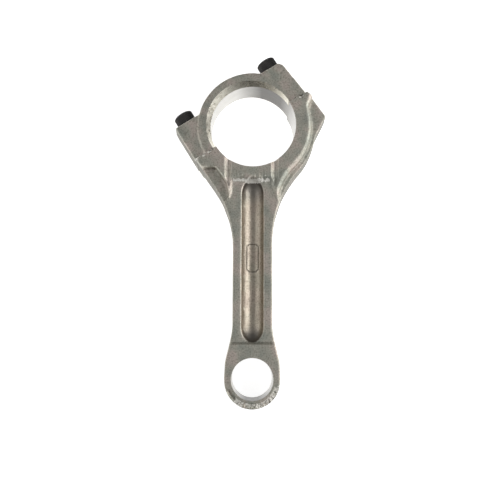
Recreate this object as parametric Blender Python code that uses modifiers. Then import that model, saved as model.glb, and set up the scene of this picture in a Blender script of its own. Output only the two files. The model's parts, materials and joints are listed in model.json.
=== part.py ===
"""Connecting rod of a small engine, lying flat: rod body, obliquely split bearing cap and two cap screws.

The shapes are drawn in millimetres about the big bore's axis, with the rod's length along Y, the bores
along Z and the mid-plane at Z = 0. The joint frame is turned by SPLIT_ANGLE about the bore: its X runs
along the parting line and its Y along the cap screws.
"""

import math

import bmesh
import bpy
from mathutils import Matrix, Vector

MM = 0.001

# Driving dimensions, millimetres and degrees
BIG_BORE_R = 18.0
SMALL_BORE_R = 8.5
CENTRES = 105.3
HALF_WIDTH = 12.0
SPLIT_ANGLE = 32.0
PARTING_GAP = 0.3

BEAM_HALF_WIDTH = 8.3
BEAM_HALF_DEPTH = 10.8
SHOULDER_HALF_DEPTH = 8.0
SMALL_END_R = 12.0
NECK_ANGLE = 11.5
RING_R = 24.2
RIGHT_FLANK_R = 26.85

CHANNEL_R = 4.6
CHANNEL_AXIS_ABOVE_FACE = 0.8
CHANNEL_TOP = -23.8
CHANNEL_BOTTOM = -90.2
SMALL_END_STEP = -90.9
BLOCK_BOTTOM = -23.3

CAP_HALF_WIDTH = 9.5
CAP_RING_R = 23.3
CAP_LEFT = 28.4
CAP_RIGHT = 27.2
LEFT_SEAT = 17.0
RIGHT_SEAT = 18.6
LEFT_BOSS_DROP = 0.6
CRESCENT_DEPTH = 2.5
CRESCENT_R = 19.05
CRESCENT_SHIFT = 1.1

SCREW_OFFSET = 21.6
SCREW_SHIFT = -0.5
HEAD_R = 4.25
HEAD_HEIGHT = 5.0
SHANK_R = 2.45
THREAD_R = 2.2
SCREW_LENGTH = 30.0
PLAIN_LENGTH = 16.0
SOCKET_ACROSS_FLATS = 4.0
SOCKET_DEPTH = 2.5
EDGE = 0.4
CAP_HOLE_R = 2.65
TAPPED_HOLE_R = 2.5
TAPPED_DEPTH = 14.5
HEAD_GAP = 0.25

BORE_SEGMENTS = 64
HOLE_SEGMENTS = 20
ARC_STEP = 7.0
FAR = 40.0
PAST = 1.0

ALUMINIUM = (0.55, 0.53, 0.48, 1.0)
BLACK_OXIDE = (0.025, 0.025, 0.028, 1.0)


def clear_scene():
    for obj in list(bpy.data.objects):
        bpy.data.objects.remove(obj)


def collection(name):
    made = bpy.data.collections.new(name)
    bpy.context.scene.collection.children.link(made)
    return made


def material(name, colour, roughness, metallic):
    made = bpy.data.materials.new(name)
    made.use_nodes = True
    shader = made.node_tree.nodes["Principled BSDF"]
    shader.inputs["Base Color"].default_value = colour
    shader.inputs["Roughness"].default_value = roughness
    shader.inputs["Metallic"].default_value = metallic
    return made


def empty(name, parent, where):
    made = bpy.data.objects.new(name, None)
    made.parent = parent
    made.empty_display_size = 10 * MM
    where.objects.link(made)
    return made


# Outlines: lists of (x, y) in millimetres

def polar(radius, angle):
    return radius * math.cos(math.radians(angle)), radius * math.sin(math.radians(angle))


def arc(radius, start, end, centre=(0.0, 0.0)):
    """Points on a circle from one angle to the other, both included."""
    steps = max(1, math.ceil(abs(end - start) / ARC_STEP))
    angles = [start + (end - start) * i / steps for i in range(steps + 1)]
    return [(centre[0] + polar(radius, a)[0], centre[1] + polar(radius, a)[1]) for a in angles]


def fillet(before, corner, after, radius):
    """The round that replaces a corner, tangent to both of its sides."""
    corner = Vector(corner)
    to_before = (Vector(before) - corner).normalized()
    to_after = (Vector(after) - corner).normalized()
    half_turn = to_before.angle(to_after) / 2
    middle = (to_before + to_after).normalized()
    centre = corner + middle * radius / math.sin(half_turn)
    reach = radius / math.tan(half_turn)
    first = corner + to_before * reach - centre
    last = corner + to_after * reach - centre
    start = math.degrees(math.atan2(first.y, first.x))
    turn = math.degrees(math.atan2(first.cross(last), first.dot(last)))
    return arc(radius, start, start + turn, centre)


def joint_to_rod(x, y):
    """A point of the joint frame in the rod's own frame."""
    turned = Matrix.Rotation(math.radians(SPLIT_ANGLE), 2) @ Vector((x, y))
    return turned.x, turned.y


def body_outline():
    """The rod body's widest outline, anticlockwise from the left end of the parting line."""
    left_start = joint_to_rod(-28.3, 3.0)
    left_joint = joint_to_rod(-28.3, -1.0)
    left_bend = (-BEAM_HALF_WIDTH, -37.3)
    neck = Vector(polar(SMALL_END_R, 180 - NECK_ANGLE)) + Vector((0, -CENTRES))
    neck_bend_y = neck.y + (neck.x + BEAM_HALF_WIDTH) / -math.tan(math.radians(NECK_ANGLE))
    left_neck = (-BEAM_HALF_WIDTH, neck_bend_y)
    right_neck = (BEAM_HALF_WIDTH, neck_bend_y)
    right_bend = (BEAM_HALF_WIDTH, -32.0)
    flank_bottom = polar(RIGHT_FLANK_R, -40)
    flank_top = polar(RIGHT_FLANK_R, -12)
    ear_root = (26.6, -4.2)
    ear_tip = (30.7, 4.9)
    ear_top = joint_to_rod(28.3, -3.0)
    right_joint = joint_to_rod(27.2, 0.0)
    points = [left_start]
    points += fillet(left_joint, left_bend, left_neck, 46.0)
    points += fillet(left_bend, left_neck, neck, 70.0)
    points += arc(SMALL_END_R, 180 - NECK_ANGLE, 360 + NECK_ANGLE, (0, -CENTRES))
    points += fillet((-neck.x, neck.y), right_neck, right_bend, 70.0)
    points += fillet(right_neck, right_bend, flank_bottom, 50.0)
    points += arc(RIGHT_FLANK_R, -38, -12)
    points += fillet(flank_top, ear_root, ear_tip, 3.0)
    points += fillet(ear_root, ear_tip, ear_top, 1.3)
    points += [ear_top, right_joint, joint_to_rod(27.0, 3.0)]
    return points


def left_pocket_outline():
    """The low shoulder under the left screw boss, open to the outside."""
    return [
        (-FAR, -17.8), (-15.4, -17.8), (-12.9, -21.3), (-10.6, -25.3), (-9.9, -30.3), (-12.4, -33.3),
        (-FAR, -33.3),
    ]


def right_pocket_outline():
    """The low shoulder round the right side of the ring, open to the outside."""
    points = [(FAR, -33.8), (12.6, -33.8), (10.5, -31.0), (10.7, -28.2), (11.9, -24.4)]
    points += arc(RING_R, -55, 16)
    points += [joint_to_rod(27.6, -2.4), joint_to_rod(FAR, -2.4)]
    return points


def beam_relief_outline():
    """Where the beam's face lies lower than the two ends' faces."""
    return [
        (-FAR, SMALL_END_STEP), (FAR, SMALL_END_STEP), (FAR, -31.6), (10.2, -31.6), (8.9, -28.5),
        (7.7, BLOCK_BOTTOM), (-7.2, BLOCK_BOTTOM), (-8.7, -28.5), (-9.7, -31.3), (-FAR, -31.3),
    ]


def cap_outline():
    """The cap in the joint frame, anticlockwise from the right end of the parting line."""
    low = PARTING_GAP / 2
    right_end = math.degrees(math.asin(RIGHT_SEAT / CAP_RING_R))
    left_end = 180 - math.degrees(math.asin(LEFT_SEAT / CAP_RING_R))
    points = [(CAP_RIGHT, low), (CAP_RIGHT - 0.5, 3.0)]
    points += fillet((26.7, 3.0), (25.3, 16.3), (23.3, RIGHT_SEAT), 1.0)
    points += [(23.3, RIGHT_SEAT)]
    points += arc(CAP_RING_R, right_end, left_end)
    points += fillet((-20.0, LEFT_SEAT), (-CAP_LEFT, LEFT_SEAT), (-CAP_LEFT, low), 1.2)
    points += [(-CAP_LEFT, low)]
    return points


# Solids

def add_object(name, mesh, where, parent):
    made = bpy.data.objects.new(name, mesh)
    made.parent = parent
    where.objects.link(made)
    return made


def outline_solid(name, points, low, high, where, parent):
    """A filled outline with straight walls from height low to height high."""
    curve = bpy.data.curves.new(name + "_outline", "CURVE")
    curve.dimensions = "2D"
    curve.fill_mode = "BOTH"
    curve.extrude = (high - low) / 2 * MM
    spline = curve.splines.new("POLY")
    spline.points.add(len(points) - 1)
    for point, (x, y) in zip(spline.points, points):
        point.co = (x * MM, y * MM, 0, 1)
    spline.use_cyclic_u = True
    flat = add_object(name + "_outline", curve, where, None)
    graph = bpy.context.evaluated_depsgraph_get()
    mesh = bpy.data.meshes.new_from_object(flat.evaluated_get(graph))
    bpy.data.objects.remove(flat)
    solid = bmesh.new()
    solid.from_mesh(mesh)
    bmesh.ops.remove_doubles(solid, verts=solid.verts, dist=0.001 * MM)
    bmesh.ops.translate(solid, verts=solid.verts, vec=(0, 0, (high + low) / 2 * MM))
    bmesh.ops.recalc_face_normals(solid, faces=solid.faces)
    solid.to_mesh(mesh)
    solid.free()
    return add_object(name, mesh, where, parent)


def bmesh_object(name, shape, where, parent):
    mesh = bpy.data.meshes.new(name)
    shape.to_mesh(mesh)
    shape.free()
    return add_object(name, mesh, where, parent)


def cylinder(name, radius, low, high, segments, where, parent, top_radius=None):
    """A cylinder or cone frustum along its local Z."""
    shape = bmesh.new()
    bmesh.ops.create_cone(
        shape, cap_ends=True, segments=segments, radius1=radius * MM,
        radius2=(radius if top_radius is None else top_radius) * MM, depth=(high - low) * MM,
    )
    bmesh.ops.translate(shape, verts=shape.verts, vec=(0, 0, (high + low) / 2 * MM))
    return bmesh_object(name, shape, where, parent)


def both_faces(cutter):
    """Repeats a cutter below the mid-plane."""
    mirror = cutter.modifiers.new("other_face", "MIRROR")
    mirror.use_axis = (False, False, True)
    mirror.use_mirror_merge = False


def cut(piece, cutter):
    cutter.hide_render = True
    cutter.display_type = "WIRE"
    boolean = piece.modifiers.new(cutter.name, "BOOLEAN")
    boolean.operation = "DIFFERENCE"
    boolean.solver = "EXACT"
    boolean.object = cutter


def screw_hole(name, side, radius, low, high, where, joint):
    """A hole on a screw's axis, from low to high along the joint frame's Y."""
    hole = cylinder(name, radius, low, high, HOLE_SEGMENTS, where, joint)
    hole.location = ((side * SCREW_OFFSET + SCREW_SHIFT) * MM, 0, 0)
    hole.rotation_euler = (math.radians(-90), 0, 0)
    return hole


def channel_cutter(where, parent):
    """Two balls and the hull round them: the round-ended channel in the beam's face."""
    height = BEAM_HALF_DEPTH + CHANNEL_AXIS_ABOVE_FACE
    half_mouth = math.sqrt(CHANNEL_R**2 - CHANNEL_AXIS_ABOVE_FACE**2)
    shape = bmesh.new()
    for y in (CHANNEL_TOP - half_mouth, CHANNEL_BOTTOM + half_mouth):
        place = Matrix.Translation((0, y * MM, height * MM))
        bmesh.ops.create_uvsphere(shape, u_segments=20, v_segments=10, radius=CHANNEL_R * MM, matrix=place)
    bmesh.ops.delete(shape, geom=shape.edges[:], context="EDGES_FACES")
    hull = bmesh.ops.convex_hull(shape, input=shape.verts)
    bmesh.ops.delete(shape, geom=hull["geom_interior"], context="VERTS")
    return bmesh_object("channel", shape, where, parent)


def rod_body(parts, cutters, rod, joint, finish):
    body = outline_solid("rod_body", body_outline(), -HALF_WIDTH, HALF_WIDTH, parts, rod)
    top = HALF_WIDTH + PAST
    reliefs = [
        ("left_pocket", left_pocket_outline(), SHOULDER_HALF_DEPTH),
        ("right_pocket", right_pocket_outline(), SHOULDER_HALF_DEPTH),
        ("beam_relief", beam_relief_outline(), BEAM_HALF_DEPTH),
    ]
    for name, points, floor in reliefs:
        relief = outline_solid(name, points, floor, top, cutters, rod)
        both_faces(relief)
        cut(body, relief)
    channel = channel_cutter(cutters, rod)
    both_faces(channel)
    cut(body, channel)
    cut(body, cylinder("big_bore", BIG_BORE_R, -top, top, BORE_SEGMENTS, cutters, rod))
    pin_bore = cylinder("small_bore", SMALL_BORE_R, -top, top, BORE_SEGMENTS, cutters, rod)
    pin_bore.location = (0, -CENTRES * MM, 0)
    cut(body, pin_bore)
    low = -PARTING_GAP / 2
    beyond = [(-FAR, low), (FAR, low), (FAR, FAR), (-FAR, FAR)]
    cut(body, outline_solid("parting_plane", beyond, -top, top, cutters, joint))
    for side, name in ((-1, "left_tapped_hole"), (1, "right_tapped_hole")):
        cut(body, screw_hole(name, side, TAPPED_HOLE_R, -TAPPED_DEPTH, PAST, cutters, joint))
    body.data.materials.append(finish)
    return body


def crescent_cutter(where, joint):
    """The slanted relief at the cap's bore edge, widest in the middle of the cap."""
    floor = CAP_HALF_WIDTH - CRESCENT_DEPTH
    cone = cylinder(
        "crescent_relief", BIG_BORE_R, floor, CAP_HALF_WIDTH, BORE_SEGMENTS, where, joint, CRESCENT_R
    )
    for vertex in cone.data.vertices:
        part_way = (vertex.co.z / MM - floor) / CRESCENT_DEPTH
        vertex.co.y += part_way * CRESCENT_SHIFT * MM
        vertex.co.z += part_way * 0.05 * MM
    both_faces(cone)
    return cone


def bearing_cap(parts, cutters, joint, finish):
    cap = outline_solid("bearing_cap", cap_outline(), -CAP_HALF_WIDTH, CAP_HALF_WIDTH, parts, joint)
    top = CAP_HALF_WIDTH + PAST
    low = PARTING_GAP / 2 - PAST
    left_face = [(-FAR, low), (-23.9, low)] + arc(23.9, 176, 137) + [(-17.6, FAR), (-FAR, FAR)]
    boss_drop = outline_solid(
        "left_boss_drop", left_face, CAP_HALF_WIDTH - LEFT_BOSS_DROP, top, cutters, joint
    )
    both_faces(boss_drop)
    cut(cap, boss_drop)
    cut(cap, cylinder("cap_bore", BIG_BORE_R, -top, top, BORE_SEGMENTS, cutters, joint))
    cut(cap, crescent_cutter(cutters, joint))
    for side, seat, name in ((-1, LEFT_SEAT, "left_cap_hole"), (1, RIGHT_SEAT, "right_cap_hole")):
        cut(cap, screw_hole(name, side, CAP_HOLE_R, -PAST, seat + PAST, cutters, joint))
    cap.data.materials.append(finish)
    return cap


def screw_profile():
    """Half of the screw's section, from the middle of the head's top down to the middle of the tip."""
    return [
        (0, HEAD_HEIGHT), (HEAD_R - EDGE, HEAD_HEIGHT), (HEAD_R, HEAD_HEIGHT - EDGE), (HEAD_R, 0),
        (SHANK_R, 0), (SHANK_R, -PLAIN_LENGTH), (THREAD_R, -PLAIN_LENGTH),
        (THREAD_R, EDGE - SCREW_LENGTH), (THREAD_R - EDGE, -SCREW_LENGTH), (0, -SCREW_LENGTH),
    ]


def cap_screw(name, side, seat, parts, cutters, joint, finish):
    """A socket-head screw along its local Z, whose origin is the middle of the head's underside."""
    profile = bmesh.new()
    line = [profile.verts.new((x * MM, 0, z * MM)) for x, z in screw_profile()]
    for above, below in zip(line, line[1:]):
        profile.edges.new((above, below))
    screw = bmesh_object(name, profile, parts, joint)
    turned = screw.modifiers.new("turned", "SCREW")
    turned.steps = turned.render_steps = 32
    turned.use_merge_vertices = True
    turned.merge_threshold = 0.01 * MM
    socket = cylinder(
        name + "_socket", SOCKET_ACROSS_FLATS / math.sqrt(3), HEAD_HEIGHT - SOCKET_DEPTH,
        HEAD_HEIGHT + PAST, 6, cutters, joint,
    )
    for obj in (screw, socket):
        obj.location = ((side * SCREW_OFFSET + SCREW_SHIFT) * MM, (seat + HEAD_GAP) * MM, 0)
        obj.rotation_euler = (math.radians(-90), 0, 0)
    cut(screw, socket)
    screw.data.materials.append(finish)
    return screw


def rest_on_origin(rod, pieces):
    """Moves the rod's frame so that the origin is below the middle of the whole box, on its underside."""
    bpy.context.view_layer.update()
    graph = bpy.context.evaluated_depsgraph_get()
    points = []
    for piece in pieces:
        solid = piece.evaluated_get(graph)
        points += [piece.matrix_world @ vertex.co for vertex in solid.to_mesh().vertices]
        solid.to_mesh_clear()
    low = Vector([min(point[i] for point in points) for i in range(3)])
    high = Vector([max(point[i] for point in points) for i in range(3)])
    middle = (low + high) / 2
    rod.location = (-middle.x, -middle.y, -low.z)


def shade(piece):
    piece.data.shade_smooth()
    piece.data.set_sharp_from_angle(angle=math.radians(30))


def main():
    clear_scene()
    parts = collection("connecting_rod")
    cutters = collection("cutters")
    rod = empty("big_bore_axis", None, parts)
    joint = empty("joint_frame", rod, parts)
    joint.rotation_euler = (0, 0, math.radians(SPLIT_ANGLE))
    cast = material("cast_aluminium", ALUMINIUM, 0.45, 0.9)
    black = material("black_oxide_steel", BLACK_OXIDE, 0.5, 0.6)
    pieces = [
        rod_body(parts, cutters, rod, joint, cast),
        bearing_cap(parts, cutters, joint, cast),
        cap_screw("cap_screw_left", -1, LEFT_SEAT, parts, cutters, joint, black),
        cap_screw("cap_screw_right", 1, RIGHT_SEAT, parts, cutters, joint, black),
    ]
    for piece in pieces:
        shade(piece)
    rest_on_origin(rod, pieces)


main()
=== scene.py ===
# %% [markdown]
# # A connecting rod, from blank to finished part
# A small engine's connecting rod starts as an aluminium casting: thick, slightly tapered so that it
# leaves its mould, with soft edges. Machine tools then cut what has to fit: the two bores, the joint
# between rod and cap, the seats and holes for the screws. This lesson follows the same order. Each cast
# blank is built from a few tapered solids, melted into one skin and softened, and only then drilled and
# cut, so that cast edges come out soft and machined edges come out crisp.

# %% Load the frame that the pieces belong to
import json
import math
import random

import bmesh
import bpy
from mathutils import Matrix, Vector, noise


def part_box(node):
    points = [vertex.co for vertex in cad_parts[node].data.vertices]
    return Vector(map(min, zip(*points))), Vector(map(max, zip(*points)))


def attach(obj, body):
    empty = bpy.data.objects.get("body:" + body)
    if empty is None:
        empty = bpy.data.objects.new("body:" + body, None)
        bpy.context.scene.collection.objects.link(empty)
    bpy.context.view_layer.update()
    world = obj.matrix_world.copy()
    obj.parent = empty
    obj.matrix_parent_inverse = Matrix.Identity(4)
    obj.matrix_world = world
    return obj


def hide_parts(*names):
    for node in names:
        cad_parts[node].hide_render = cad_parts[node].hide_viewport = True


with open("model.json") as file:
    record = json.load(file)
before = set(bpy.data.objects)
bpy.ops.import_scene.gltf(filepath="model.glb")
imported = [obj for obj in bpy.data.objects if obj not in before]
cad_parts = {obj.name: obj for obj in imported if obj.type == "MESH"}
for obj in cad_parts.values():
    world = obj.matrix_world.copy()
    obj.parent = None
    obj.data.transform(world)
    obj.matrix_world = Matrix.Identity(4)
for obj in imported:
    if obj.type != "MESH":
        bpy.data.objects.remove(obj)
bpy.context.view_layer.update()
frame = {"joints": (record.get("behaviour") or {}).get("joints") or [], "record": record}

# %% [markdown]
# ## Where things are
# The whole part is drawn in millimetres about the crankpin bore, half-way through its thickness, and
# moved into the frame at the end. The bores' places, the thicknesses and the slant of the joint are read
# from the frame, so that they can't drift away from it. A joint's axis points along the cap screws.

# %% Read the driving sizes from the frame
MM = 0.001


def opening_centre(name):
    for opening in frame["record"]["physics"]["openings"]:
        if opening["name"] == name:
            low, high = opening["box_m"]
            return (Vector(low) + Vector(high)) / 2
    raise KeyError(name)


def half_height(node):
    low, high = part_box(node)
    return (high.z - low.z) / 2 / MM


crank_axis = opening_centre("crankpin_bore")
pin_axis = opening_centre("piston_pin_bore")
CENTRES = (crank_axis.y - pin_axis.y) / MM
HALF_WIDTH = half_height("rod_body")
CAP_HALF_WIDTH = half_height("bearing_cap")
screw_way = Vector(frame["joints"][0]["axis"])
SPLIT = math.atan2(-screw_way.x, screw_way.y)

to_frame = Matrix.Translation(crank_axis) @ Matrix.Scale(MM, 4)
joint_turn = Matrix.Rotation(SPLIT, 4, "Z")
print(f"centres {CENTRES:.1f}, half width {HALF_WIDTH:.1f}, cap {CAP_HALF_WIDTH:.1f} mm,")
print(f"joint slanted {math.degrees(SPLIT):.1f} degrees")

# %% Name the other sizes, in millimetres
CRANK_BORE_R = 18.0
PIN_BORE_R = 8.5
BEAM_HALF = 8.25
BEAM_FACE = 10.8
SHOULDER_FACE = 8.0
SMALL_END_R = 11.5
SMALL_END_DRAFT = 0.3
SMALL_END_DROP = 0.63
NECK_ANGLE = math.radians(2.7)
SCREW_PLACES = {-1: -22.1, 1: 21.1}
LEFT_SEAT = 17.0
RIGHT_SEAT = 18.6
HEAD_GAP = 0.25
JOINT_GAP = 0.16
ABOVE = HALF_WIDTH + 2.0
FAR = 40.0

# %% [markdown]
# ## Tapered solids
# A casting is easy to see as a stack of flat outlines, each raised from a sheet with slightly leaning
# walls. Every outline here is a short list of corners with a radius for each. A round corner is one
# vertex spun about the corner's centre, and inset_region both raises the face and shrinks it, which is
# exactly what a draft angle is. Only the upper half is drawn: mirror makes the lower one.

# %% Outlines with rounded corners
ARC_STEP = math.radians(4)


def add_corner(shape, before, corner, after, radius):
    """Adds one corner's vertices to the outline, and returns the first and the last of them."""
    if radius == 0:
        vert = shape.verts.new((corner.x, corner.y, 0))
        return vert, vert
    to_before, to_after = (before - corner).normalized(), (after - corner).normalized()
    half = to_before.angle(to_after) / 2
    centre = corner + (to_before + to_after).normalized() * radius / math.sin(half)
    start = corner + to_before * radius / math.tan(half)
    turn = math.pi - 2 * half
    if to_before.cross(to_after) > 0:
        turn = -turn
    vert = shape.verts.new((start.x, start.y, 0))
    spun = bmesh.ops.spin(
        shape, geom=[vert], cent=(centre.x, centre.y, 0), axis=(0, 0, 1), angle=turn,
        steps=max(2, math.ceil(abs(turn) / ARC_STEP)), use_merge=False,
    )
    return vert, spun["geom_last"][0]


def outline(corners, height=0.0):
    """A flat face whose corners are (x, y, radius), anticlockwise seen from above."""
    shape = bmesh.new()
    points = [Vector(corner[:2]) for corner in corners]
    ends = []
    for i, point in enumerate(points):
        ends.append(add_corner(shape, points[i - 1], point, points[(i + 1) % len(points)], corners[i][2]))
    for (_, last), (first, _) in zip(ends, ends[1:] + ends[:1]):
        shape.edges.new((last, first))
    bmesh.ops.translate(shape, verts=shape.verts, vec=(0, 0, height))
    face = bmesh.ops.contextual_create(shape, geom=shape.edges[:])["faces"][0]
    face.normal_update()
    if face.normal.z < 0:
        face.normal_flip()
    return shape, face


def add_object(name, shape):
    """A bmesh as an object in the scene, still in millimetres."""
    bmesh.ops.recalc_face_normals(shape, faces=shape.faces)
    mesh = bpy.data.meshes.new(name)
    shape.to_mesh(mesh)
    shape.free()
    made = bpy.data.objects.new(name, mesh)
    bpy.context.scene.collection.objects.link(made)
    return made


def tapered(name, corners, base, *steps, turn=Matrix.Identity(4)):
    """An outline raised from height base in steps of (rise, growth), and mirrored below the middle."""
    shape, face = outline(corners, base)
    for rise, growth in steps:
        bmesh.ops.inset_region(
            shape, faces=[face], thickness=-growth, depth=rise, use_even_offset=True, use_boundary=True
        )
    if base > 0:
        bmesh.ops.holes_fill(shape, edges=[edge for edge in shape.edges if edge.is_boundary])
    bmesh.ops.mirror(shape, geom=shape.verts[:] + shape.edges[:] + shape.faces[:], axis="Z", merge_dist=MM)
    bmesh.ops.transform(shape, matrix=turn, verts=shape.verts)
    return add_object(name, shape)


# %% [markdown]
# ## Cutting and joining
# A Boolean modifier joins the solids and cuts the bores. The blanks become dense later, and the manifold
# solver stays fast on them, but it only takes closed meshes, which all of these are. The result replaces
# the object's mesh at once, so that no modifier is left behind.

# %% Boolean, remesh and smooth helpers
def evaluated(piece):
    """Replaces a piece's mesh by what its modifiers make of it."""
    graph = bpy.context.evaluated_depsgraph_get()
    mesh = bpy.data.meshes.new_from_object(piece.evaluated_get(graph))
    piece.modifiers.clear()
    piece.data = mesh
    return piece


def combine(piece, tool, operation):
    """UNION, DIFFERENCE or INTERSECT with another object, which is used up."""
    boolean = piece.modifiers.new("combine", "BOOLEAN")
    boolean.operation = operation
    boolean.solver = "MANIFOLD"
    boolean.object = tool
    evaluated(piece)
    bpy.data.objects.remove(tool)


def cylinder(name, radius, low, high, segments=128, top_radius=None, turn=Matrix.Identity(4)):
    """A closed cylinder or cone along Z, then turned into place."""
    shape = bmesh.new()
    bmesh.ops.create_cone(
        shape, cap_ends=True, segments=segments, radius1=radius,
        radius2=radius if top_radius is None else top_radius, depth=high - low,
        matrix=turn @ Matrix.Translation((0, 0, (low + high) / 2)),
    )
    return add_object(name, shape)


def cast_skin(piece, voxel, rounds):
    """Melts the solids into one even skin, and softens its edges as a mould does."""
    remesh = piece.modifiers.new("skin", "REMESH")
    remesh.mode = "VOXEL"
    remesh.voxel_size = voxel
    evaluated(piece)
    shape = bmesh.new()
    shape.from_mesh(piece.data)
    for _ in range(rounds):
        bmesh.ops.smooth_vert(
            shape, verts=shape.verts, factor=0.5, use_axis_x=True, use_axis_y=True, use_axis_z=True
        )
    shape.to_mesh(piece.data)
    shape.free()


# %% [markdown]
# ## The rod's blank
# From above, the rod is a slim beam that widens into two shoulders: one reaches up to the left screw, the
# other sweeps round the bore to the right screw. The lower shoulders stop 4 mm below the ring, so the
# blank is a plate at that height, and a taller core with a pocket cut away over each shoulder.

# %% The widest outline
def in_joint(x, y):
    """A point given along and across the joint, in the rod's own directions."""
    return (joint_turn @ Vector((x, y, 0))).to_2d()


def corner(point, radius=0.0):
    return point[0], point[1], radius


neck_x = SMALL_END_R * math.cos(NECK_ANGLE)
neck_y = SMALL_END_R * math.sin(NECK_ANGLE) - CENTRES - SMALL_END_DROP
rod_corners = [
    corner(in_joint(-28.3, 3.0)),
    (-BEAM_HALF, -37.3, 46.0),
    (-BEAM_HALF, -86.3, 30.0),
    (-11.15, -98.4, 10.0),
    (-neck_x, neck_y, 0),
    (neck_x, neck_y, 0),
    (11.15, -98.4, 10.0),
    (BEAM_HALF, -86.3, 30.0),
    (BEAM_HALF, -32.0, 50.0),
    (24.87, -12.13, 26.85),
    (26.55, -4.3, 3.0),
    (31.15, 4.75, 1.0),
    corner(in_joint(28.3, -3.0), 1.0),
    corner(in_joint(27.2, 0.0)),
    corner(in_joint(27.0, 3.0)),
]
rod = tapered("rod", rod_corners, 0.0, (HALF_WIDTH, -0.15))
print("outline corners", len(rod_corners))

# %% The pockets over the two shoulders, and the lower faces of the beam
left_pocket = [
    (-FAR, -18.2, 0), (-FAR, -33.2, 0), (-12.3, -33.2, 0.8), (-10.0, -30.4, 1.5), (-11.0, -25.0, 4.0),
    (-13.3, -21.4, 4.0), (-15.8, -18.2, 0.6),
]
right_pocket = [
    (FAR, -33.6, 0), (FAR, 16.0, 0), corner(in_joint(27.8, -2.7), 0.8), (23.5, 8.3, 1.5),
    (25.43, -2.0, 24.7), (21.27, -14.08, 24.7), (16.1, -18.9, 4.0), (12.9, -23.6, 6.0),
    (11.2, -27.8, 5.0), (10.7, -31.2, 0.8), (12.5, -33.6, 0.8),
]
for name, corners, crest in (("left_pocket", left_pocket, 0.3), ("right_pocket", right_pocket, 1.0)):
    pocket = tapered(
        name, corners, 0.0, (SHOULDER_FACE, 0), (2.7, 0.15), (0.7, 0.3 * crest), (0.6, 0.85 * crest), (2.0, 0.2)
    )
    combine(rod, pocket, "DIFFERENCE")
plate = tapered("plate", rod_corners, 0.0, (SHOULDER_FACE, -0.2))
combine(rod, plate, "UNION")

STEP_Y = -90.6
beam_face = [
    (-FAR, STEP_Y, 0), (FAR, STEP_Y, 0), (FAR, -31.8, 0), (10.2, -31.8, 0), (8.9, -28.7, 0),
    (7.7, -24.2, 0), (-8.7, -24.2, 0), (-8.8, -28.7, 0), (-9.7, -31.6, 0), (-FAR, -31.6, 0),
]
combine(rod, tapered("beam_face", beam_face, BEAM_FACE, (1.2, 0.8), (2.0, 0)), "DIFFERENCE")
small_end = cylinder("small_end", SMALL_END_R, 0, HALF_WIDTH, 96, SMALL_END_R - SMALL_END_DRAFT)
shape = bmesh.new()
shape.from_mesh(small_end.data)
bmesh.ops.translate(shape, verts=shape.verts, vec=(0, -CENTRES - SMALL_END_DROP, 0))
bmesh.ops.delete(shape, geom=[face for face in shape.faces if face.normal.z < -0.5], context="FACES_ONLY")
bmesh.ops.mirror(shape, geom=shape.verts[:] + shape.edges[:] + shape.faces[:], axis="Z", merge_dist=MM)
bmesh.ops.recalc_face_normals(shape, faces=shape.faces)
shape.to_mesh(small_end.data)
shape.free()
combine(rod, small_end, "UNION")

# %% [markdown]
# ## The channel and the grooves
# A channel runs down each face of the beam, which turns its section into a light, stiff I. It is the path
# of a ball-ended tool: a ball pulled apart at its middle. Two small grooves with leaning walls run from
# the bore past the sides of the block above the channel, and the block itself slopes down to the beam.

# %% Cut the channel, the grooves and the block's slope
CHANNEL_R = 4.85
CHANNEL_HEIGHT = 12.3
CHANNEL_TOP = -29.6
CHANNEL_BOTTOM = -84.2
END_STRETCH = 1.38


def channel_tool(radius):
    """The channel's ball-ended form over the upper face, and its mirror image below."""
    shape = bmesh.new()
    bmesh.ops.create_uvsphere(
        shape, u_segments=64, v_segments=32, radius=radius, matrix=Matrix.Rotation(math.pi / 2, 4, "X")
    )
    middle, half = (CHANNEL_TOP + CHANNEL_BOTTOM) / 2, (CHANNEL_TOP - CHANNEL_BOTTOM) / 2
    for way in (1, -1):
        end = [vert for vert in shape.verts if vert.co.y * way > 0.01]
        bmesh.ops.scale(shape, verts=end, vec=(1, END_STRETCH, 1))
        bmesh.ops.translate(shape, verts=end, vec=(0, way * half, 0))
    bmesh.ops.translate(shape, verts=shape.verts, vec=(0, middle, CHANNEL_HEIGHT))
    bmesh.ops.mirror(shape, geom=shape.verts[:] + shape.edges[:] + shape.faces[:], axis="Z", merge_dist=MM)
    return add_object("channel", shape)


combine(rod, channel_tool(CHANNEL_R), "DIFFERENCE")
GROOVE_DEPTH = 1.1
grooves = [
    [(-11.7, -12.0, 0), (-11.7, -24.5, 0), (-9.0, -28.6, 0), (-8.9, -24.5, 0), (-8.9, -12.0, 0)],
    [(7.7, -12.0, 0), (7.7, -22.5, 0), (8.9, -28.9, 0), (10.9, -22.5, 0), (10.9, -12.0, 0)],
]
for corners in grooves:
    groove = tapered("groove", corners, HALF_WIDTH + 0.1, (-GROOVE_DEPTH, -0.95))
    combine(rod, groove, "DIFFERENCE")
slope = bmesh.new()
bmesh.ops.create_cube(slope, size=1, matrix=Matrix.Translation((-0.6, -24.4, BEAM_FACE))
                      @ Matrix.Rotation(math.radians(27), 4, "X")
                      @ Matrix.Diagonal((17.0, 9.0, 3.0, 1)) @ Matrix.Translation((0, 0.5, 0.5)))
bmesh.ops.mirror(slope, geom=slope.verts[:] + slope.edges[:] + slope.faces[:], axis="Z", merge_dist=MM)
combine(rod, add_object("slope", slope), "DIFFERENCE")
print("blank", len(rod.data.polygons), "faces before its skin")

# %% [markdown]
# ## The cast skin
# Voxel remeshing lays an even net of small faces over the blank, and smoothing that net rounds every
# edge by about half a millimetre, inside and outside corners alike. Bevels could round the outer edges,
# but not the many places where two leaning walls meet. The net also gives later steps enough vertices to
# leave the marks of the mould in.

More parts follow.
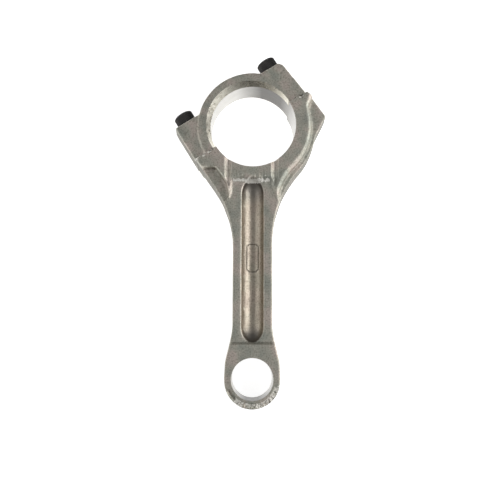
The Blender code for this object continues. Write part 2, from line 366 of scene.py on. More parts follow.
# %% Give the rod its skin
cast_skin(rod, 0.38, 3)
print("skin", len(rod.data.polygons), "faces")

# %% [markdown]
# ## Marks of casting and breaking
# A die casting is never quite even: its faces are slightly wavy, metal that cooled first leaves ridges
# where the block slopes to the beam, and a rough scar stays at the tip of the small end, where the gate
# through which the mould was filled was broken off. All of it is done by moving the skin's vertices by
# smooth noise. Milling then brings everything above the finished height down to it.

# %% Move the skin's vertices
GATE_START, GATE_END = math.radians(-132), math.radians(-8)
CRESCENT_MIDDLE, CRESCENT_HALF = math.radians(-141), math.radians(17)


def fade(value, start, end):
    """0 before start, 1 after end, and smooth between."""
    share = min(1.0, max(0.0, (value - start) / (end - start)))
    return share * share * (3 - 2 * share)


def waviness(point, seed):
    """A slow unevenness of a few hundredths of a millimetre, as a change along the surface's normal."""
    shift = Vector((seed, seed, seed))
    return 0.05 * noise.noise(point * 0.22 + shift) + 0.025 * noise.noise(point * 0.7 - shift)


def block_ridges(point):
    """How far the slope under the bore is pressed in, with ridges that run along the rod."""
    across = fade(point.x, -8.6, -7.0) * fade(-point.x, -7.6, -6.4)
    along = fade(point.y, -25.0, -23.6) * fade(-point.y, 19.5, 22.0)
    ridge = noise.noise(Vector((point.x * 2.1, point.y * 0.3, 4.0)))
    return across * along * (0.12 + 0.26 * ridge + 0.1 * noise.noise(point * 1.5))


def gate_scar(point):
    """How far the small end's lower rim is pressed in, with ridges that run outwards from the bore."""
    away = Vector((point.x, point.y + CENTRES))
    radius, angle = away.length, math.atan2(away.y, away.x)
    around = fade(angle, GATE_START, GATE_START + 0.25) * fade(-angle, -GATE_END, -GATE_END + 0.3)
    ridge = noise.noise(Vector((angle * 24, radius * 0.5, 1.0)))
    return fade(radius, 9.2, 10.2) * around * (0.4 + 0.75 * ridge + 0.25 * noise.noise(point * 1.4))


def crescent(point):
    """A short curved dent beside the gate scar."""
    away = Vector((point.x, point.y + CENTRES))
    off_middle = abs(math.atan2(away.y, away.x) - CRESCENT_MIDDLE) / CRESCENT_HALF
    across = abs(away.length - 10.4) / 0.9
    return 0.75 * (1 - fade(off_middle, 0.6, 1.0)) * (1 - fade(across, 0.3, 1.0))


def mark(piece, marks, seed, finished):
    """Applies marks to the faces on both sides, and mills them to the finished height."""
    shape = bmesh.new()
    shape.from_mesh(piece.data)
    shape.normal_update()
    for vert in shape.verts:
        side = 1 if vert.co.z > 0 else -1
        depth = 0.0
        if vert.normal.z * side > 0.35:
            seen = Vector((vert.co.x, vert.co.y, side * 20))
            depth = sum(pressed(seen) for pressed in marks)
        vert.co += vert.normal * waviness(vert.co, seed)
        vert.co.z -= side * depth
        vert.co.z = side * min(abs(vert.co.z), finished)
    shape.to_mesh(piece.data)
    shape.free()


mark(rod, (block_ridges, gate_scar, crescent), 3.0, HALF_WIDTH - 0.04)

# %% [markdown]
# ## Machining the rod
# The bores are turned solids: half of a bore's section is spun round its axis, chamfers included. The
# joint is different. Its two faces were broken apart rather than cut, so that rod and cap only fit each
# other one way. One grid of vertices, moved by the same noise, cuts the rod from above and the cap from
# below, which leaves two rough faces that match all over.

# %% Bores with chamfered mouths
def bore_tool(name, radius, half_length, chamfer, steps=160):
    shape = bmesh.new()
    mouth = half_length - chamfer
    section = [
        (0, -ABOVE), (radius + chamfer + ABOVE - half_length, -ABOVE), (radius, -mouth), (radius, mouth),
        (radius + chamfer + ABOVE - half_length, ABOVE), (0, ABOVE),
    ]
    line = [shape.verts.new((x, 0, z)) for x, z in section]
    edges = [shape.edges.new(pair) for pair in zip(line, line[1:])]
    bmesh.ops.spin(
        shape, geom=line + edges, axis=(0, 0, 1), angle=math.tau, steps=steps, use_merge=True
    )
    bmesh.ops.remove_doubles(shape, verts=shape.verts, dist=MM)
    return add_object(name, shape)


combine(rod, bore_tool("crank_bore", CRANK_BORE_R, HALF_WIDTH, 0.2), "DIFFERENCE")
pin_bore = bore_tool("pin_bore", PIN_BORE_R, HALF_WIDTH, 0.12, 96)
pin_bore.data.transform(Matrix.Translation((0, -CENTRES, 0)))
combine(rod, pin_bore, "DIFFERENCE")

# %% The broken joint
JOINT_REACH = 32.0


def roughness_of_joint(x, z):
    """Height of the broken face along the screws' direction: calm at the bore, coarser outside."""
    coarse = noise.noise(Vector((x * 0.35, z * 0.3, 7.0)))
    fine = noise.noise(Vector((x * 1.3, z * 1.1, 2.0)))
    return (0.36 * coarse + 0.2 * fine) * (0.45 + 0.55 * fade(abs(x), 19.0, 25.0))


def joint_tool(way):
    """A block whose near face is the broken face, from half the gap away and onwards in that way."""
    shape = bmesh.new()
    bmesh.ops.create_grid(shape, x_segments=140, y_segments=60, size=1)
    base = shape.faces[:]
    for vert in shape.verts:
        x, z = vert.co.x * JOINT_REACH, vert.co.y * ABOVE
        vert.co = (x, way * JOINT_GAP / 2 + roughness_of_joint(x, z), z)
    raised = bmesh.ops.extrude_face_region(shape, geom=base, use_keep_orig=True)["geom"]
    top = [item for item in raised if isinstance(item, bmesh.types.BMVert)]
    for vert in top:
        vert.co.y = way * FAR
    bmesh.ops.transform(shape, matrix=joint_turn, verts=shape.verts)
    return add_object("joint", shape)


def chips(seed, left_height, right_height):
    """Splinters that broke away along the joint's edges, mostly near its outer ends."""
    chance = random.Random(seed)
    shape = bmesh.new()
    for side in (-1, 1):
        for face in (-1, 1):
            for _ in range(13):
                x = side * (28.2 - 9.5 * chance.random() ** 1.6)
                height = left_height if side < 0 else right_height
                size = 0.6 + 0.75 * chance.random()
                tilt = Matrix.Rotation(chance.uniform(-0.6, 0.6), 4, Vector((1, chance.uniform(-1, 1), 0)))
                place = Matrix.Translation((x, chance.uniform(-0.8, 0.8), face * (height + 0.1)))
                bmesh.ops.create_icosphere(
                    shape, subdivisions=1, radius=size,
                    matrix=joint_turn @ place @ tilt @ Matrix.Diagonal((1.0, 0.7, 0.42, 1)),
                )
    return add_object("chips", shape)


combine(rod, joint_tool(1), "DIFFERENCE")

# %% The tapped holes
TAPPED_R = 2.5
TAPPED_DEPTH = 13.4
along_screws = Matrix.Rotation(-math.pi / 2, 4, "X")


def on_screw(side, height=0.0):
    """The place of something drawn upright on a screw's axis, at a height above the joint."""
    return joint_turn @ Matrix.Translation((SCREW_PLACES[side], height, 0)) @ along_screws


for side in (-1, 1):
    combine(rod, cylinder("hole", TAPPED_R, -TAPPED_DEPTH, 3, 48, turn=on_screw(side)), "DIFFERENCE")
    point = cylinder("point", 0.05, -TAPPED_DEPTH - 1.2, -TAPPED_DEPTH + 0.05, 48, TAPPED_R, on_screw(side))
    combine(rod, point, "DIFFERENCE")
    mouth = cylinder("mouth", TAPPED_R - 0.2, -0.8, 0.6, 48, TAPPED_R + 0.7, on_screw(side))
    combine(rod, mouth, "DIFFERENCE")
print("rod", len(rod.data.polygons), "faces")

# %% [markdown]
# ## The badge in the channel
# A small frame with cut corners is sunk in the channel's floor. It is left blank. The frame starts as an
# upright wall, trimmed by a cylinder a little thicker than the channel, so that it follows the round
# floor at an even depth.

# %% Sink the badge's frame
BADGE_MIDDLE = -55.9
BADGE_HALF_WIDTH = 2.6
BADGE_HALF_LENGTH = 6.0
BADGE_CUT = 1.1
BADGE_LINE = 0.5
BADGE_DEPTH = 0.4


def badge_prism(half_width, half_length, cut, low, high):
    shape = bmesh.new()
    bmesh.ops.create_cube(shape, size=2)
    upright = [edge for edge in shape.edges if abs(edge.verts[0].co.z - edge.verts[1].co.z) > 1]
    bmesh.ops.scale(shape, verts=shape.verts, vec=(half_width, half_length, (high - low) / 2))
    bmesh.ops.bevel(
        shape, geom=upright, affect="EDGES", offset=cut, segments=1, profile=0.5, material=-1
    )
    bmesh.ops.translate(shape, verts=shape.verts, vec=(0, BADGE_MIDDLE, (low + high) / 2))
    return add_object("badge", shape)


floor_height = CHANNEL_HEIGHT - CHANNEL_R
badge = badge_prism(BADGE_HALF_WIDTH, BADGE_HALF_LENGTH, BADGE_CUT, floor_height - 1, floor_height + 2)
inside = badge_prism(
    BADGE_HALF_WIDTH - BADGE_LINE, BADGE_HALF_LENGTH - BADGE_LINE, BADGE_CUT - 0.2, floor_height - 2,
    floor_height + 3,
)
combine(badge, inside, "DIFFERENCE")
along_channel = Matrix.Translation((0, BADGE_MIDDLE, CHANNEL_HEIGHT)) @ Matrix.Rotation(math.pi / 2, 4, "X")
combine(badge, cylinder("trim", CHANNEL_R + BADGE_DEPTH, -20, 20, 96, turn=along_channel), "INTERSECT")
combine(rod, badge, "DIFFERENCE")

# %% [markdown]
# ## The bearing cap
# The cap is a half ring with a screw boss at each end. It is drawn in the joint's own directions, with
# the screws pointing up, and turned into place last. The left boss is 0.6 mm thinner than the ring, and
# the ring is thinner than the rod's half. A slanting cut, deepest in the middle, opens the bore's edge.

# %% The cap's blank
RING_R = 23.3
SEAT_RAISE = 0.2
left_boss = [
    (-28.75, -3.0, 0), (-8.0, -3.0, 0), (-8.0, 10.0, 0), (-15.6, LEFT_SEAT + SEAT_RAISE, 1.0),
    (-28.75, LEFT_SEAT + SEAT_RAISE, 1.2),
]
right_boss = [
    (5.0, -3.0, 0), (27.3, -3.0, 0), (26.8, 3.0, 3.0), (25.35, 16.4, 1.0),
    (23.2, RIGHT_SEAT + SEAT_RAISE, 0.6), (13.9, RIGHT_SEAT + SEAT_RAISE, 0.6), (5.0, 12.0, 0),
]


def sloped_seat(boss, side, seat, drop):
    """Lets a boss fall away on both sides of the screw's seat."""
    wedge = bmesh.new()
    tilt = Matrix.Rotation(math.atan2(drop, 4.3), 4, "X")
    place = Matrix.Translation((SCREW_PLACES[side], seat + SEAT_RAISE, 4.9))
    block = Matrix.Diagonal((24.0, 4.0, 9.0, 1)) @ Matrix.Translation((0, 0.5, 0.5))
    bmesh.ops.create_cube(wedge, size=1, matrix=place @ tilt @ block)
    bmesh.ops.mirror(wedge, geom=wedge.verts[:] + wedge.edges[:] + wedge.faces[:], axis="Z", merge_dist=MM)
    combine(boss, add_object("wedge", wedge), "DIFFERENCE")


cap = tapered("cap", left_boss, 0.0, (CAP_HALF_WIDTH - 0.7, -0.4))
sloped_seat(cap, -1, LEFT_SEAT, 0.8)
boss = tapered("right_boss", right_boss, 0.0, (CAP_HALF_WIDTH, -0.3))
sloped_seat(boss, 1, RIGHT_SEAT, 1.0)
combine(cap, boss, "UNION")
combine(cap, cylinder("ring", RING_R, -CAP_HALF_WIDTH, CAP_HALF_WIDTH, 160), "UNION")
cast_skin(cap, 0.34, 3)
print("cap skin", len(cap.data.polygons), "faces")


# %% Marks on the cap, then its machined faces
def tool_arc(point):
    """A shallow arc that a cutter left beside the right end of the joint."""
    off = abs((Vector((point.x, point.y)) - Vector((25.5, 9.5))).length - 5.2)
    return 0.12 * (1 - fade(off, 0.1, 0.5)) * fade(-point.x, -25.0, -23.0)


mark(cap, (tool_arc,), 11.0, CAP_HALF_WIDTH - 0.03)
cap.data.transform(joint_turn)
combine(cap, joint_tool(-1), "DIFFERENCE")
combine(rod, chips(5, HALF_WIDTH, HALF_WIDTH), "DIFFERENCE")
combine(cap, chips(8, CAP_HALF_WIDTH - 0.7, CAP_HALF_WIDTH), "DIFFERENCE")
print("chipped", len(rod.data.polygons), len(cap.data.polygons))
combine(cap, bore_tool("cap_bore", CRANK_BORE_R, ABOVE, 0.0), "DIFFERENCE")
RELIEF_DEPTH = 2.6
RELIEF_R = 19.05
RELIEF_SHIFT = Vector((-0.8, 0.8, 0))
for way in (1, -1):
    relief = cylinder("relief", CRANK_BORE_R, CAP_HALF_WIDTH - RELIEF_DEPTH, CAP_HALF_WIDTH, 160, RELIEF_R)
    for vert in relief.data.vertices:
        part_way = (vert.co.z - CAP_HALF_WIDTH + RELIEF_DEPTH) / RELIEF_DEPTH
        vert.co += part_way * RELIEF_SHIFT + Vector((0, 0, part_way * 0.01))
    if way < 0:
        relief.data.transform(Matrix.Rotation(math.pi, 4, "Y"))
        relief.data.transform(Matrix.Translation((2 * RELIEF_SHIFT.x, 0, 0)))
    combine(cap, relief, "DIFFERENCE")
for side, seat in ((-1, LEFT_SEAT), (1, RIGHT_SEAT)):
    combine(cap, cylinder("hole", 2.65, -3, seat + 5, 48, turn=on_screw(side)), "DIFFERENCE")
print("cap", len(cap.data.polygons), "faces")

# %% [markdown]
# ## The cap screws
# Each screw is one turned blank: a head whose side is knurled for the fingers, a plain shank, and a
# thread. The knurl is a many-sided circle with every other vertex pulled in. The thread is a small
# triangle spun up a helix, which is what spin does when every step also moves along the axis.

# %% One screw, drawn upright with its origin under the head
HEAD_R = 4.25
HEAD_HEIGHT = 5.2
KNURLS = 44
SHANK_R = 2.45
SCREW_LENGTH = 30.0
PLAIN_LENGTH = 16.0
PITCH = 0.8
THREAD_R = 2.42
CORE_R = 1.97


def knurled_head():
    shape = bmesh.new()
    bmesh.ops.create_circle(shape, cap_ends=True, segments=2 * KNURLS, radius=HEAD_R)
    for i, vert in enumerate(shape.verts):
        if i % 2:
            vert.co *= 1 - 0.16 / HEAD_R
    shape.faces.ensure_lookup_table()
    face = shape.faces[0]
    face.normal_update()
    if face.normal.z < 0:
        face.normal_flip()
    for rise, growth in ((0.0, -0.3), (0.3, 0.28), (HEAD_HEIGHT - 1.0, 0), (0.3, -0.12), (0.4, -0.5)):
        bmesh.ops.inset_region(
            shape, faces=[face], thickness=-growth, depth=rise, use_even_offset=True, use_boundary=True
        )
    bmesh.ops.holes_fill(shape, edges=[edge for edge in shape.edges if edge.is_boundary])
    return add_object("head", shape)


def thread_ridge():
    """A closed triangular ridge along a helix, from the tip up to the plain shank."""
    shape = bmesh.new()
    base = CORE_R - 0.15
    low = -SCREW_LENGTH + 0.5
    section = [(base, low), (THREAD_R, low + PITCH * 0.42), (THREAD_R, low + PITCH * 0.52), (base, low + PITCH * 0.94)]
    verts = [shape.verts.new((x, 0, z)) for x, z in section]
    face = shape.faces.new(verts)
    turns = (SCREW_LENGTH - PLAIN_LENGTH - 0.8) / PITCH
    steps = round(turns * 28)
    bmesh.ops.spin(
        shape, geom=[face] + face.edges[:] + verts, axis=(0, 0, 1), dvec=(0, 0, turns * PITCH / steps),
        angle=math.tau * turns, steps=steps, use_merge=False,
    )
    return add_object("ridge", shape)


def cap_screw(name, side, seat):
    screw = knurled_head()
    screw.name = name
    combine(screw, cylinder("socket", 4.0 / math.sqrt(3), HEAD_HEIGHT - 2.5, HEAD_HEIGHT + 1, 6), "DIFFERENCE")
    dish = cylinder("dish", 2.0, HEAD_HEIGHT - 0.45, HEAD_HEIGHT + 0.2, 48, 2.65)
    combine(screw, dish, "DIFFERENCE")
    combine(screw, cylinder("shank", SHANK_R, -PLAIN_LENGTH, 0.6, 48), "UNION")
    combine(screw, cylinder("core", CORE_R, -SCREW_LENGTH + 0.5, -PLAIN_LENGTH + 0.4, 48), "UNION")
    combine(screw, cylinder("tip", CORE_R - 0.5, -SCREW_LENGTH, -SCREW_LENGTH + 0.52, 48, CORE_R), "UNION")
    combine(screw, thread_ridge(), "UNION")
    screw.data.transform(on_screw(side, seat + HEAD_GAP))
    return screw


left_screw = cap_screw("left_screw", -1, LEFT_SEAT)
right_screw = cap_screw("right_screw", 1, RIGHT_SEAT)
print("screw", len(left_screw.data.polygons), "faces")

# %% [markdown]
# ## Metals
# Three finishes of the same aluminium meet on the rod: the cast skin, the bored and milled faces, and the
# broken joint. All are bare metal, so what sets them apart is how rough they are and what pattern their
# bump follows. The patterns are noise and bands on Object coordinates, so they sit still in the metal. A
# second look at the geometry, pointiness, paints highlights on sharp edges and shade in the corners.

# %% Helpers for node materials
def new_metal(name, metallic=1.0):
    metal = bpy.data.materials.new(name)
    metal.use_nodes = True
    metal.node_tree.nodes["Principled BSDF"].inputs["Metallic"].default_value = metallic
    return metal


def add_node(metal, kind, **settings):
    """Adds a node and sets its inputs by name and its properties by attribute."""
    node = metal.node_tree.nodes.new(kind)
    for name, value in settings.items():
        label = name.replace("_", " ")
        if label in node.inputs:
            node.inputs[label].default_value = value
        else:
            setattr(node, name, value)
    return node


def link(metal, source, target):
    metal.node_tree.links.new(source, target)


def metal_noise(metal, size_mm, detail=3.0, stretch=(1, 1, 1)):
    """Noise whose lumps are about size_mm across, stretched along the axes."""
    place = add_node(metal, "ShaderNodeTexCoord")
    mapping = add_node(metal, "ShaderNodeMapping")
    mapping.inputs["Scale"].default_value = [1 / (size_mm * MM * length) for length in stretch]
    pattern = add_node(metal, "ShaderNodeTexNoise", Scale=1.0, Detail=detail)
    link(metal, place.outputs["Object"], mapping.inputs["Vector"])
    link(metal, mapping.outputs["Vector"], pattern.inputs["Vector"])
    return pattern.outputs["Fac"]


def ramp(metal, value, stops):
    """Maps a value to colours given as (position, colour)."""
    node = add_node(metal, "ShaderNodeValToRGB")
    elements = node.color_ramp.elements
    while len(elements) < len(stops):
        elements.new(0.5)
    for element, (position, colour) in zip(elements, stops):
        element.position = position
        element.color = (*colour, 1)
    link(metal, value, node.inputs["Fac"])
    return node.outputs["Color"]


def spread(metal, value, low, high, start=0.3, end=0.7):
    """Maps a value between start and end to the range low to high."""
    node = add_node(metal, "ShaderNodeMapRange")
    for name, number in (("From Min", start), ("From Max", end), ("To Min", low), ("To Max", high)):
        node.inputs[name].default_value = number
    link(metal, value, node.inputs["Value"])
    return node.outputs["Result"]


def blend_colours(metal, factor, first, second, kind="MIX"):
    node = add_node(metal, "ShaderNodeMix", data_type="RGBA", blend_type=kind)
    if isinstance(factor, float):
        node.inputs["Factor"].default_value = factor
    else:
        link(metal, factor, node.inputs["Factor"])
    for source, socket in ((first, node.inputs[6]), (second, node.inputs[7])):
        if isinstance(source, tuple):
            socket.default_value = (*source, 1)
        else:
            link(metal, source, socket)
    return node.outputs[2]


def add_bump(metal, height, depth_mm, strength, below=None):
    """A bump of a given depth, on top of another bump's normal."""
    node = add_node(metal, "ShaderNodeBump", Strength=strength, Distance=depth_mm * MM)
    link(metal, height, node.inputs["Height"])
    if below is not None:
        link(metal, below, node.inputs["Normal"])
    return node.outputs["Normal"]


def connect(metal, **sources):
    shader = metal.node_tree.nodes["Principled BSDF"]
    for name, source in sources.items():
        link(metal, source, shader.inputs[name.replace("_", " ")])


def painted_shade_patch(metal, middle, reach):
    """The mask of a patch of painted shade, which fades out reach millimetres from its middle, through the whole
    thickness.
    """
    scale = 1 / (reach * MM)
    middle = to_frame @ Vector(middle)
    place = add_node(metal, "ShaderNodeTexCoord")
    mapping = add_node(metal, "ShaderNodeMapping")
    mapping.inputs["Scale"].default_value = (scale, scale, 0)
    mapping.inputs["Location"].default_value = (-middle.x * scale, -middle.y * scale, 0)
    patch = add_node(metal, "ShaderNodeTexGradient", gradient_type="SPHERICAL")
    link(metal, place.outputs["Object"], mapping.inputs["Vector"])
    link(metal, mapping.outputs["Vector"], patch.inputs["Vector"])
    return spread(metal, patch.outputs["Fac"], 0.0, 0.9, 0.02, 0.7)


# %% The cast skin
def cast_metal(name, colours, roughness, painted_shade_patches=()):
    """The skin left by the mould: slow colour changes, a fine grain, painted highlights on edges and painted shade in
    corners.
    """
    metal = new_metal(name)
    blotches = ramp(metal, metal_noise(metal, 7, 6.0), list(zip((0.36, 0.50, 0.64), colours)))
    shape = add_node(metal, "ShaderNodeNewGeometry").outputs["Pointiness"]
    # Sharp convex edges are painted lighter: a painted highlight.
    painted_edge_highlight = spread(metal, shape, 0.0, 0.6, 0.515, 0.57)
    # Hollow corners are painted darker: painted shade.
    painted_corner_shade = spread(metal, shape, 0.8, 0.0, 0.44, 0.49)
    colour = blend_colours(metal, painted_edge_highlight, blotches, (0.80, 0.76, 0.66))
    colour = blend_colours(metal, painted_corner_shade, colour, (0.20, 0.175, 0.145))
    specks = ramp(metal, metal_noise(metal, 0.6, 5.0), [(0.34, (0.58, 0.56, 0.52)), (0.54, (1, 1, 1))])
    colour = blend_colours(metal, 0.75, colour, specks, "MULTIPLY")
    # Each given patch is painted darker: painted shade.
    for middle, reach in painted_shade_patches:
        colour = blend_colours(metal, painted_shade_patch(metal, middle, reach), colour, (0.23, 0.215, 0.195))
    fine = add_bump(metal, metal_noise(metal, 0.3, 4.0), 0.035, 0.6)
    grain = add_bump(metal, metal_noise(metal, 1.3, 3.0), 0.12, 0.6, fine)
    connect(metal, Base_Color=colour, Normal=grain,
            Roughness=spread(metal, metal_noise(metal, 5), roughness - 0.06, roughness + 0.08))
    return metal


skin_colours = ((0.67, 0.60, 0.54), (0.57, 0.555, 0.485), (0.46, 0.47, 0.415))
# The outer walls' colours are darker than the skin's: painted shade.
painted_shade_flank_colours = ((0.34, 0.315, 0.28), (0.31, 0.30, 0.265), (0.29, 0.285, 0.25))
# The channel's colours are darker than the skin's: painted shade in the recess.
painted_shade_channel_colours = ((0.50, 0.43, 0.36), (0.52, 0.46, 0.38), (0.48, 0.44, 0.36))


# %% The bored faces, with turning lines and patches of painted shade
def bored_metal():
    metal = new_metal("bored_aluminium")
    rings = metal_noise(metal, 0.22, 2.0, (60, 60, 1))
    colour = ramp(metal, metal_noise(metal, 6), [(0.35, (0.70, 0.69, 0.66)), (0.65, (0.78, 0.77, 0.745))])
    # The crankpin bore's wall in the cap and the pin bore's wall towards the tip are painted darker: painted shade.
    for middle, reach in (((9, 17.5, 0), 17), ((0, -CENTRES - 9, 0), 9)):
        colour = blend_colours(metal, painted_shade_patch(metal, middle, reach), colour, (0.10, 0.095, 0.09))
    connect(metal, Base_Color=colour, Normal=add_bump(metal, rings, 0.012, 0.4),
            Roughness=spread(metal, rings, 0.3, 0.44))
    return metal


# %% The hand-cut relief, the broken joint and the blackened screws
def relief_metal():
    metal = new_metal("hand_cut_aluminium")
    dabs = metal_noise(metal, 2.0, 2.0)
    colour = ramp(metal, dabs, [(0.38, (0.84, 0.81, 0.71)), (0.6, (0.96, 0.93, 0.83))])
    # The top of the relief is painted darker: painted shade.
    colour = blend_colours(metal, painted_shade_patch(metal, (4, 21, 0), 17), colour, (0.40, 0.38, 0.33))
    connect(metal, Base_Color=colour, Normal=add_bump(metal, dabs, 0.16, 0.7),
            Roughness=spread(metal, dabs, 0.22, 0.36))
    return metal


def broken_metal():
    metal = new_metal("broken_aluminium")
    crystals = metal_noise(metal, 0.35, 5.0)
    colour = ramp(metal, crystals, [(0.3, (0.50, 0.49, 0.46)), (0.7, (0.76, 0.75, 0.72))])
    metal.node_tree.nodes["Principled BSDF"].inputs["Roughness"].default_value = 0.55
    connect(metal, Base_Color=colour, Normal=add_bump(metal, crystals, 0.15, 0.9))
    return metal


def bright_metal():
    """Freshly broken metal: chips at the joint, ridges of the slope and the gate scar."""
    metal = new_metal("bright_aluminium", 0.2)
    crystals = metal_noise(metal, 0.5, 4.0)
    colour = ramp(metal, crystals, [(0.3, (0.74, 0.71, 0.64)), (0.6, (0.95, 0.93, 0.86))])
    connect(metal, Base_Color=colour, Normal=add_bump(metal, crystals, 0.2, 0.9),
            Roughness=spread(metal, crystals, 0.32, 0.5))
    return metal


def black_metal():
    metal = new_metal("black_oxide_steel", 0.85)
    oil = metal_noise(metal, 2.5)
    shape = add_node(metal, "ShaderNodeNewGeometry").outputs["Pointiness"]
    # Sharp edges are painted lighter: a painted highlight.
    painted_edge_highlight = spread(metal, shape, 0.0, 0.5, 0.52, 0.6)
    base = ramp(metal, oil, [(0.3, (0.024, 0.023, 0.023)), (0.7, (0.048, 0.045, 0.044))])
    colour = blend_colours(metal, painted_edge_highlight, base, (0.20, 0.19, 0.18))
    connect(metal, Base_Color=colour, Roughness=spread(metal, oil, 0.3, 0.48),
            Normal=add_bump(metal, metal_noise(metal, 0.2, 3.0), 0.012, 0.5))
    return metal


cast = cast_metal("cast_aluminium", skin_colours, 0.52)
# The channel's metal is smoother, and its two ends get patches of painted shade.
painted_shade_core_cast = cast_metal("painted_shade_core_aluminium", painted_shade_channel_colours, 0.38, [((0.6, -25.5, 0), 9), ((0, -89, 0), 6)])
painted_shade_flank_cast = cast_metal("painted_shade_flank_aluminium", painted_shade_flank_colours, 0.6)
bored, relieved, broken = bored_metal(), relief_metal(), broken_metal()
bright, black = bright_metal(), black_metal()

# %% [markdown]
# ## Which face gets which metal
# After all the cuts, each face is told apart by where it is: a face on a bore's radius was bored, a face
# close to the joint that looks along the screws was broken, and the rest is cast. Then the pieces are
# shaded smooth, with sharp edges kept where two faces meet steeply, and scaled into the frame.

# %% Give each face its metal
def on_bore(centre, normal, axis_y, radius):
    away = Vector((centre.x, centre.y - axis_y))
    return abs(away.length - radius) < 0.06 and abs(normal.z) < 0.2


def in_hole(centre):
    here = joint_turn.inverted() @ centre
    if not -TAPPED_DEPTH - 1.2 < here.y < RIGHT_SEAT + 0.4:
        return False
    return any(math.hypot(here.x - x, here.z) < 2.8 for x in SCREW_PLACES.values())


def on_joint(centre, normal):
    here, way = joint_turn.inverted() @ centre, joint_turn.inverted().to_3x3() @ normal
    return abs(here.y) < 0.6 and abs(way.y) > 0.6


def in_chip(centre, normal):
    """A small slanting face close to the joint's line."""
    here = joint_turn.inverted() @ centre
    return abs(here.y) < 1.0 and abs(here.x) > 18.6 and 0.1 < abs(normal.z) < 0.99 and abs(here.z) > 8.0


def on_ridge(centre, normal):
    """An uneven band along the foot of the slope under the bore."""
    top = -23.1 + 1.1 * noise.noise(Vector((centre.x * 0.9, 3.0, 1.0)))
    return abs(normal.z) < 0.97 and -24.7 < centre.y < top and -8.2 < centre.x < 7.2


def on_scar(centre, normal):
    """Streaks of the gate scar at the small end's tip."""
    away = Vector((centre.x, centre.y + CENTRES))
    angle = math.atan2(away.y, away.x)
    streak = noise.noise(Vector((angle * 20, away.length * 0.4, 2.0))) > -0.12
    return streak and away.length > 9.6 and 0.4 < abs(normal.z) < 0.985 and GATE_START < angle < GATE_END


def in_channel(centre):
    """Near the channel's ball-ended form, where the mould's core was smoother; its colour here is darker as painted
    shade.
    """
    along = min(max(centre.y, CHANNEL_BOTTOM), CHANNEL_TOP)
    away = Vector((centre.x, (centre.y - along) / END_STRETCH, abs(centre.z) - CHANNEL_HEIGHT))
    return abs(away.length - CHANNEL_R) < 0.45 and abs(centre.z) < BEAM_FACE - 0.15


def on_flank(centre, normal):
    """The outer walls, which lay against the mould's sides and came out rougher; their darker colour is painted shade.
    """
    return abs(normal.z) < 0.35 and (abs(centre.z) < SHOULDER_FACE - 0.3 or centre.y < -34)


def metal_index(centre, normal, relieved_part):
    if on_bore(centre, normal, 0, CRANK_BORE_R) or on_bore(centre, normal, -CENTRES, PIN_BORE_R):
        return 1
    if in_hole(centre):
        return 1
    if on_joint(centre, normal):
        return 3
    if in_chip(centre, normal) or on_ridge(centre, normal) or on_scar(centre, normal):
        return 6
    if relieved_part and 0.3 < abs(normal.z) < 0.9 and abs(centre.z) > CAP_HALF_WIDTH - RELIEF_DEPTH:
        if (centre.to_2d() - RELIEF_SHIFT.to_2d()).length < RELIEF_R + 0.05:
            return 2
    if in_channel(centre):
        return 4
    if on_flank(centre, normal):
        return 5
    return 0


def finish_aluminium(piece, relieved_part=False):
    mesh = piece.data
    mesh.materials.clear()
    for metal in (cast, bored, relieved, broken, painted_shade_core_cast, painted_shade_flank_cast, bright):
        mesh.materials.append(metal)
    for face in mesh.polygons:
        face.material_index = metal_index(face.center, face.normal, relieved_part)


def place(piece, name, body, node, slot):
    """Moves a finished piece into the frame and lets it ride on its body."""
    piece.name = name
    piece.data.name = name
    piece.data.transform(to_frame)
    piece.data.shade_smooth()
    piece.data.set_sharp_from_angle(angle=math.radians(32))
    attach(piece, body)
    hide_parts(node)


finish_aluminium(rod)
finish_aluminium(cap, relieved_part=True)
place(rod, "rod", "rod", "rod_body", "cast_aluminium")
place(cap, "cap", "cap", "bearing_cap", "cast_aluminium")
for screw, side in ((left_screw, "left"), (right_screw, "right")):
    screw.data.materials.clear()
    screw.data.materials.append(black)
    place(screw, f"{side}_cap_screw", f"{side}_screw", f"cap_screw_{side}", "black_oxide_steel")

# %% [markdown]
# ## Table, light and camera
# Bare metal looks like what surrounds it. The rod lies on a white table that glows a little, as in a
# light tent, so that the bores show a clean white ground. Two long soft lights stand to the left and
# right, the right one stronger: walls that lean towards them turn bright, while walls that face along
# the rod stay dark.

# %% The table
table = bmesh.new()
bmesh.ops.create_grid(table, x_segments=1, y_segments=1, size=3.0)
table_mesh = bpy.data.meshes.new("table")
table.to_mesh(table_mesh)
table.free()
floor = bpy.data.objects.new("table", table_mesh)
bpy.context.scene.collection.objects.link(floor)
paper = bpy.data.materials.new("white_paper")
paper.use_nodes = True
paper_shader = paper.node_tree.nodes["Principled BSDF"]
paper_shader.inputs["Base Color"].default_value = (0.86, 0.86, 0.86, 1)
paper_shader.inputs["Roughness"].default_value = 0.9
paper_shader.inputs["Emission Color"].default_value = (1, 1, 1, 1)
paper_shader.inputs["Emission Strength"].default_value = 0.85
floor.data.materials.append(paper)

# %% The lights
def soft_light(name, watts, width, length, place, target):
    lamp = bpy.data.lights.new(name, "AREA")
    lamp.shape = "RECTANGLE"
    lamp.size, lamp.size_y = width, length
    lamp.energy = watts
    made = bpy.data.objects.new(name, lamp)
    made.location = place
    made.rotation_euler = (Vector(target) - Vector(place)).to_track_quat("-Z", "Y").to_euler()
    bpy.context.scene.collection.objects.link(made)


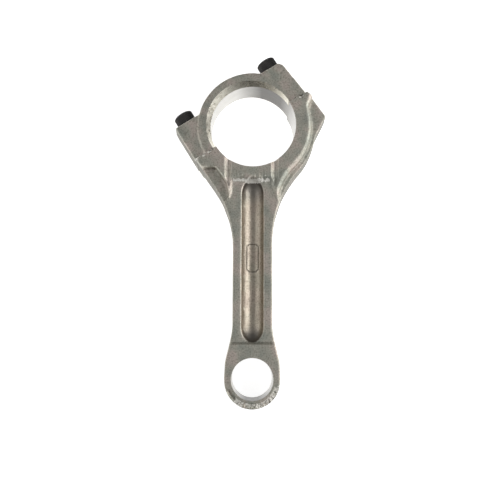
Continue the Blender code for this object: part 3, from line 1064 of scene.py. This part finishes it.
soft_light("right_light", 2.8, 0.5, 0.9, (0.72, 0.05, 0.46), (0, 0, 0.01))
soft_light("left_light", 0.9, 0.5, 0.9, (-0.72, 0.05, 0.46), (0, 0, 0.01))
world = bpy.data.worlds.new("tent")
bpy.context.scene.world = world
world.use_nodes = True
world.node_tree.nodes["Background"].inputs["Strength"].default_value = 1.0


def world_node(kind, **settings):
    node = world.node_tree.nodes.new(kind)
    for name, value in settings.items():
        setattr(node, name, value)
    return node


def brightness(direction, way, strength):
    """Light that grows towards one side of the tent."""
    dot = world_node("ShaderNodeVectorMath", operation="DOT_PRODUCT")
    dot.inputs[1].default_value = way
    facing = world_node("ShaderNodeMath", operation="MAXIMUM")
    facing.inputs[1].default_value = 0
    squared = world_node("ShaderNodeMath", operation="POWER")
    squared.inputs[1].default_value = 2
    scaled = world_node("ShaderNodeMath", operation="MULTIPLY")
    scaled.inputs[1].default_value = strength
    world.node_tree.links.new(direction, dot.inputs[0])
    world.node_tree.links.new(dot.outputs["Value"], facing.inputs[0])
    world.node_tree.links.new(facing.outputs[0], squared.inputs[0])
    world.node_tree.links.new(squared.outputs[0], scaled.inputs[0])
    return scaled.outputs[0]


direction = world_node("ShaderNodeTexCoord").outputs["Generated"]
total = None
for way, strength in (((0, 0, 1), 0.29), ((1, 0, 0), 1.05), ((-1, 0, 0), 0.55), ((0, 1, 0), 0.1), ((0, -1, 0), 0.1)):
    part = brightness(direction, way, strength)
    if total is None:
        total = part
    else:
        add = world_node("ShaderNodeMath", operation="ADD")
        world.node_tree.links.new(total, add.inputs[0])
        world.node_tree.links.new(part, add.inputs[1])
        total = add.outputs[0]
world.node_tree.links.new(total, world.node_tree.nodes["Background"].inputs["Color"])
bpy.context.scene.view_settings.view_transform = "Standard"

# %% The camera, over the small end and tilted a little towards the big end
CAMERA_TILT = math.radians(7.353)
CAMERA_ROLL = math.radians(0.2087)
camera_data = bpy.data.cameras.new("camera")
camera_data.lens = 53.56
camera_data.sensor_width = 36.0
camera = bpy.data.objects.new("camera", camera_data)
camera.location = to_frame @ Vector((-1.046, -91.99, 313.6))
camera.rotation_euler = (Matrix.Rotation(CAMERA_TILT, 3, "X") @ Matrix.Rotation(CAMERA_ROLL, 3, "Z")).to_euler()
bpy.context.scene.collection.objects.link(camera)
bpy.context.scene.camera = camera
